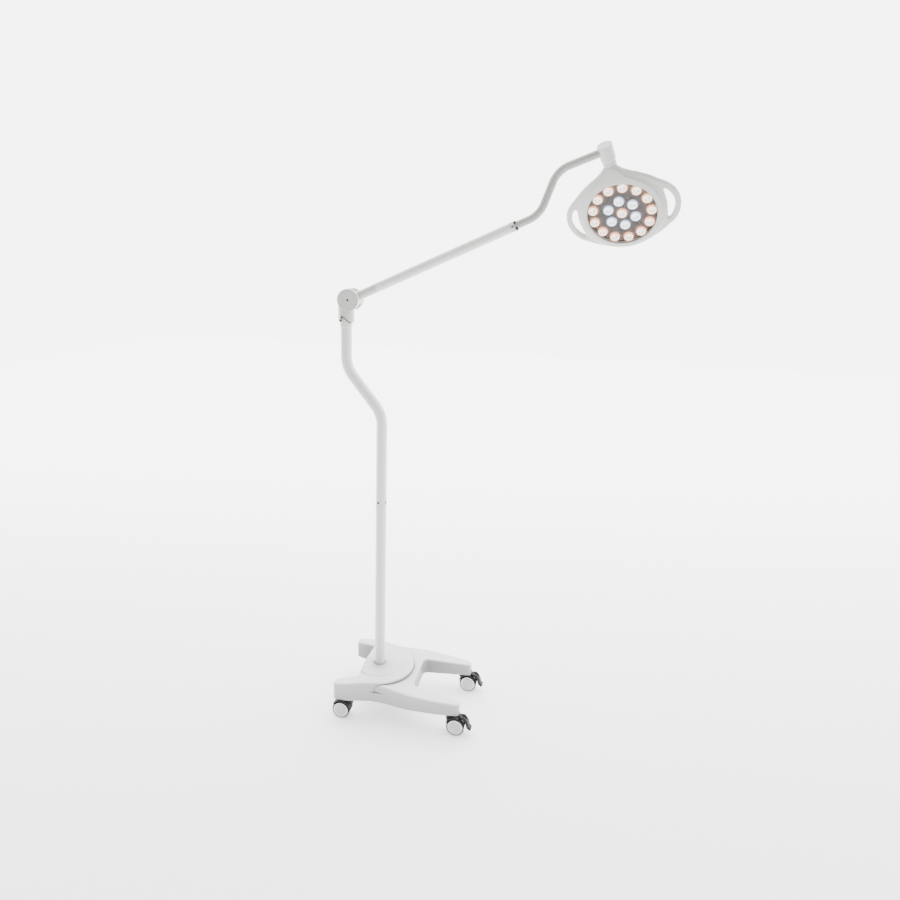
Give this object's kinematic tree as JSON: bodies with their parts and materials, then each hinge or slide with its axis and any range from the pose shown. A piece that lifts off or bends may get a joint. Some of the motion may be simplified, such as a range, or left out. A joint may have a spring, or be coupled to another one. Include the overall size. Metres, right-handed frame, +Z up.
{
  "type": "surgical light",
  "caption": "Mobile examination and surgical LED light: round lamp head with side grips on a jointed arm, bent pole and weighted caster base.",
  "frame": {"origin": "on the floor, under the centre of the lower pole", "axes": "+Z up, +X along the long legs and the lamp arm, the lamp faces towards -Y and down"},
  "size_m": [1.0886, 0.3654, 2.0035],
  "materials": {
    "white_enamel": "smooth powder coat",
    "grey_enamel": "smooth powder coat",
    "white_plastic": "moulded, semi-gloss",
    "base_plastic": "moulded, fine texture",
    "black_plastic": "moulded",
    "grey_plastic": "moulded",
    "black_rubber": "matt",
    "black_steel": "blackened",
    "steel": "machined",
    "cast_iron": "as cast",
    "aluminium": "extruded",
    "window_glass": "clear, slightly tinted",
    "warm_led": "moulded lens",
    "cool_led": "moulded lens",
    "circuit_board": "solder mask"
  },
  "bodies": {
    "base": {"base_cover": "base_plastic", "base_shell": "base_plastic", "base_frame": "steel", "base_screws": "steel", "counterweight": "cast_iron", "power_supply": "black_plastic", "power_inlet": "black_plastic", "lower_pole": "white_enamel", "pole_spigot": "steel", "upper_pole": "white_enamel", "pole_screws": "black_steel", "pole_collar": "white_enamel", "swivel_bush": "grey_plastic"},
    "elbow": {"elbow_bracket": "white_enamel", "swivel_spindle": "steel", "stop_screw": "black_steel"},
    "lamp_arm": {"arm_knuckle": "white_enamel", "hinge_pin": "steel", "hinge_screws": "black_steel", "knuckle_caps": "white_plastic", "friction_washers": "grey_plastic", "arm_ring": "white_plastic", "arm_tube": "white_enamel", "gas_spring": "steel", "spring_anchor": "aluminium", "arm_end_bush": "white_plastic", "arm_end_screw": "black_steel"},
    "s_arm": {"s_arm_tube": "grey_enamel", "s_arm_clip": "black_plastic"},
    "head_swivel": {"swivel_housing": "white_enamel", "swivel_cap": "white_plastic", "swivel_rings": "grey_plastic"},
    "lamp_head": {"head_shaft": "steel", "head_housing": "white_plastic", "front_cover": "white_plastic", "window": "window_glass", "window_seal": "black_rubber", "led_board": "circuit_board", "warm_lenses": "warm_led", "cool_lenses": "cool_led", "heat_sink": "aluminium", "driver_board": "circuit_board", "rear_cap": "white_plastic", "housing_screws": "black_steel"},
    "button": {"power_button": "grey_plastic"},
    "caster_fl": {"caster_fl_fork": "black_plastic"},
    "wheel_fl": {"caster_fl_tyres": "black_rubber", "caster_fl_wheel": "grey_plastic"},
    "caster_fr": {"caster_fr_fork": "black_plastic"},
    "wheel_fr": {"caster_fr_tyres": "black_rubber", "caster_fr_wheel": "grey_plastic"},
    "caster_rl": {"caster_rl_fork": "black_plastic"},
    "wheel_rl": {"caster_rl_tyres": "black_rubber", "caster_rl_wheel": "grey_plastic"},
    "caster_rr": {"caster_rr_fork": "black_plastic"},
    "wheel_rr": {"caster_rr_tyres": "black_rubber", "caster_rr_wheel": "grey_plastic"},
    "pedal_fr": {"brake_pedal_fr": "black_plastic"},
    "pedal_rr": {"brake_pedal_rr": "black_plastic"}
  },
  "joints": [
    {"name": "arm_pan", "type": "hinge", "parent": "base", "child": "elbow", "pos_m": [-0.1293, 0, 1.42], "axis": [0, 0, 1], "range_deg": [-160, 160]},
    {"name": "arm_tilt", "type": "hinge", "parent": "elbow", "child": "lamp_arm", "pos_m": [-0.114, 0, 1.495], "axis": [0, 1, 0], "range_deg": [-25, 50]},
    {"name": "s_arm_roll", "type": "hinge", "parent": "lamp_arm", "child": "s_arm", "pos_m": [0.42978, 0, 1.74857], "axis": [0.9063, 0, 0.4226], "range_deg": [-150, 150]},
    {"name": "head_tilt", "type": "hinge", "parent": "s_arm", "child": "head_swivel", "pos_m": [0.69201, 0, 1.97427], "axis": [0.9252, 0, 0.3795], "range_deg": [-90, 75]},
    {"name": "head_spin", "type": "hinge", "parent": "head_swivel", "child": "lamp_head", "pos_m": [0.70459, 0.02237, 1.94359], "axis": [-0.3146, -0.5592, 0.767], "range_deg": [-165, 135]},
    {"name": "power_button_press", "type": "slide", "parent": "lamp_head", "child": "button", "axis": [-0.0345, -0.8008, -0.598], "range_m": [0, 0.0015], "stiffness_N_per_m": 600, "springref_m": -0.0015},
    {"name": "caster_fl_swivel", "type": "hinge", "parent": "base", "child": "caster_fl", "pos_m": [-0.074, -0.134, 0.09], "axis": [0, 0, 1], "continuous": true},
    {"name": "wheel_fl_spin", "type": "hinge", "parent": "caster_fl", "child": "wheel_fl", "pos_m": [-0.098, -0.134, 0.032], "axis": [0, -1, 0], "continuous": true},
    {"name": "caster_fr_swivel", "type": "hinge", "parent": "base", "child": "caster_fr", "pos_m": [0.297, -0.124, 0.09], "axis": [0, 0, 1], "continuous": true},
    {"name": "wheel_fr_spin", "type": "hinge", "parent": "caster_fr", "child": "wheel_fr", "pos_m": [0.321, -0.124, 0.032], "axis": [0, 1, 0], "continuous": true},
    {"name": "caster_rl_swivel", "type": "hinge", "parent": "base", "child": "caster_rl", "pos_m": [-0.074, 0.134, 0.09], "axis": [0, 0, 1], "continuous": true},
    {"name": "wheel_rl_spin", "type": "hinge", "parent": "caster_rl", "child": "wheel_rl", "pos_m": [-0.05052, 0.13899, 0.032], "axis": [-0.2079, 0.9781, 0], "continuous": true},
    {"name": "caster_rr_swivel", "type": "hinge", "parent": "base", "child": "caster_rr", "pos_m": [0.297, 0.124, 0.09], "axis": [0, 0, 1], "continuous": true},
    {"name": "wheel_rr_spin", "type": "hinge", "parent": "caster_rr", "child": "wheel_rr", "pos_m": [0.321, 0.124, 0.032], "axis": [0, 1, 0], "continuous": true},
    {"name": "brake_fr_press", "type": "hinge", "parent": "caster_fr", "child": "pedal_fr", "pos_m": [0.34, -0.124, 0.0645], "axis": [0, 1, 0], "range_deg": [0, 7]},
    {"name": "brake_rr_press", "type": "hinge", "parent": "caster_rr", "child": "pedal_rr", "pos_m": [0.34, 0.124, 0.0645], "axis": [0, 1, 0], "range_deg": [0, 7]}
  ]
}
